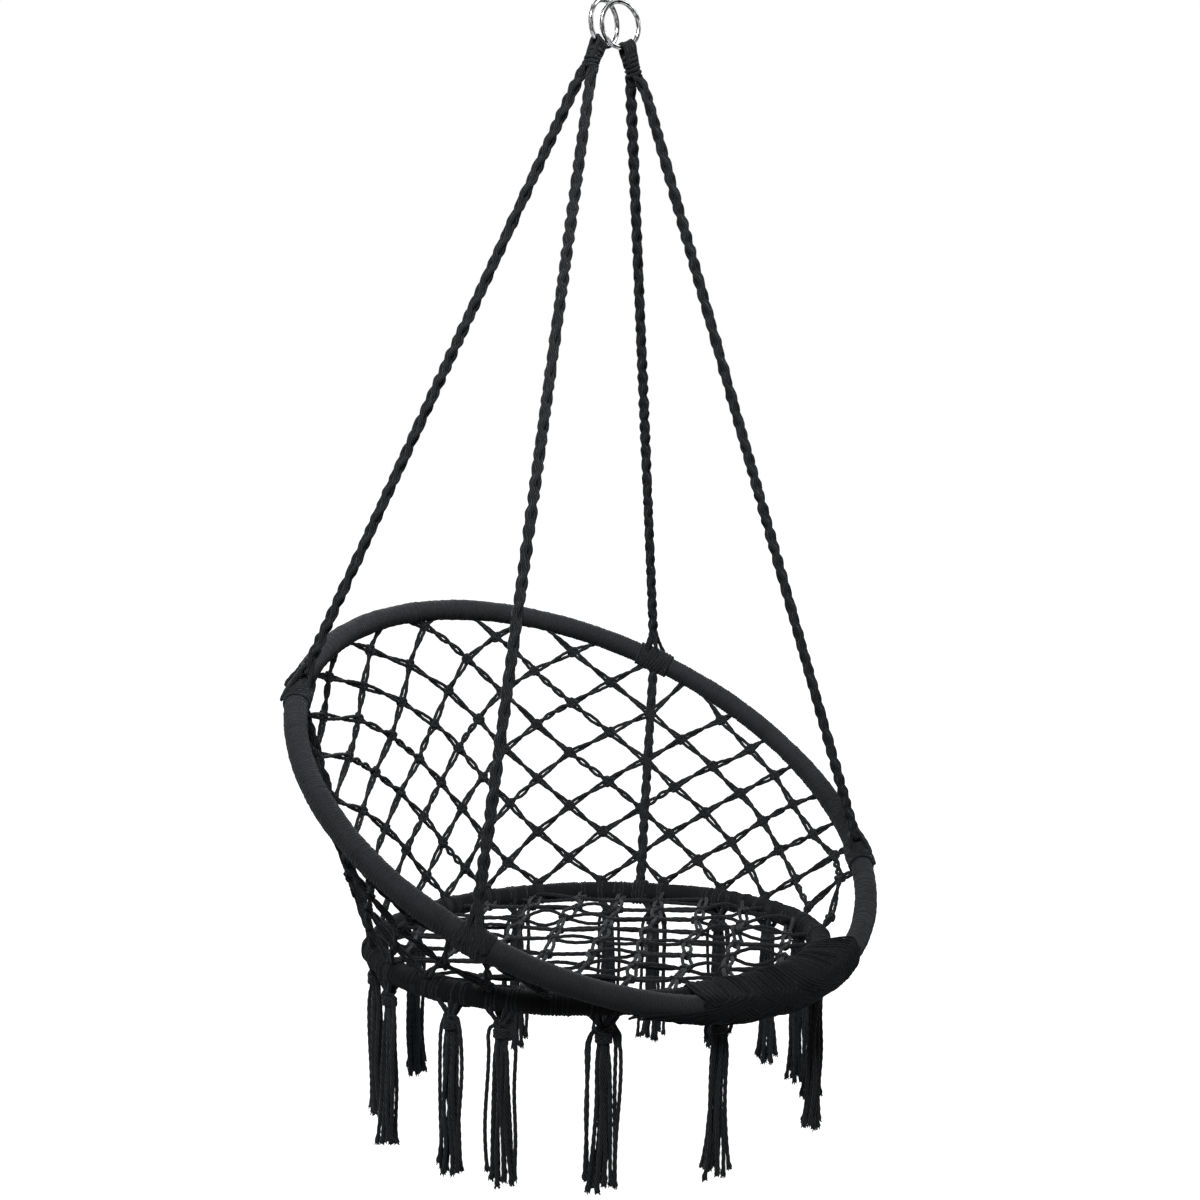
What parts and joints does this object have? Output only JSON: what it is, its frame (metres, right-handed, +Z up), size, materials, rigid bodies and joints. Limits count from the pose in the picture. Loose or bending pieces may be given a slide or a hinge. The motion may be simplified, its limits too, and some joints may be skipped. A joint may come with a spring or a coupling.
{
  "type": "hanging hammock chair",
  "caption": "Round cord-wrapped hammock chair: a tilted back hoop and a seat hoop joined by knotted nets, hung by ropes from O-rings, with tassels.",
  "frame": {"origin": "the hang point: the top inside of the two O-rings, where a hook bears", "axes": "+Z up, -Y towards the chair's open front, +X towards the left hand of a person who sits in it"},
  "size_m": [0.7978, 0.693, 1.3997],
  "materials": {
    "cotton_cord": "matt dark grey twisted cotton cord",
    "hoop_steel": "plain steel tube, hidden under the wrap",
    "ring_chrome": "bright plated round wire"
  },
  "bodies": {
    "rings": {"o_ring_left": "ring_chrome", "o_ring_right": "ring_chrome"},
    "chair": {"back_hoop_joint_pin": "hoop_steel", "back_hoop_tube": "hoop_steel", "back_hoop_wrap": "cotton_cord", "back_net": "cotton_cord", "front_lashing": "cotton_cord", "hanging_rope_back_left": "cotton_cord", "hanging_rope_back_right": "cotton_cord", "hanging_rope_front_left": "cotton_cord", "hanging_rope_front_right": "cotton_cord", "rope_head_left": "cotton_cord", "rope_head_right": "cotton_cord", "rope_tie_back_left": "cotton_cord", "rope_tie_back_right": "cotton_cord", "rope_tie_front_left": "cotton_cord", "rope_tie_front_right": "cotton_cord", "side_net_left": "cotton_cord", "side_net_right": "cotton_cord", "tail_rope_left": "cotton_cord", "tail_rope_right": "cotton_cord"},
    "seat": {"seat_hoop_tube": "hoop_steel", "seat_hoop_wrap": "cotton_cord", "seat_hoop_joint_pin": "hoop_steel", "seat_net": "cotton_cord", "tassel_01": "cotton_cord", "tassel_02": "cotton_cord", "tassel_03": "cotton_cord", "tassel_04": "cotton_cord", "tassel_05": "cotton_cord", "tassel_06": "cotton_cord", "tassel_07": "cotton_cord", "tassel_08": "cotton_cord", "tassel_09": "cotton_cord", "tassel_10": "cotton_cord", "tassel_11": "cotton_cord", "tassel_12": "cotton_cord", "tassel_13": "cotton_cord", "tassel_14": "cotton_cord", "tassel_15": "cotton_cord"}
  },
  "joints": [
    {"name": "swing", "type": "hinge", "parent": "rings", "child": "chair", "pos_m": [0.00011, -0.00346, -0.04787], "axis": [0.9799, -0.1993, 0], "range_deg": [-20, 20]},
    {"name": "fold", "type": "hinge", "parent": "chair", "child": "seat", "pos_m": [0, -0.30908, -1.17083], "axis": [1, 0, 0], "range_deg": [0, 27], "deforming": ["back_net", "side_net_left", "side_net_right", "tail_rope_left", "tail_rope_right", "front_lashing"]}
  ]
}
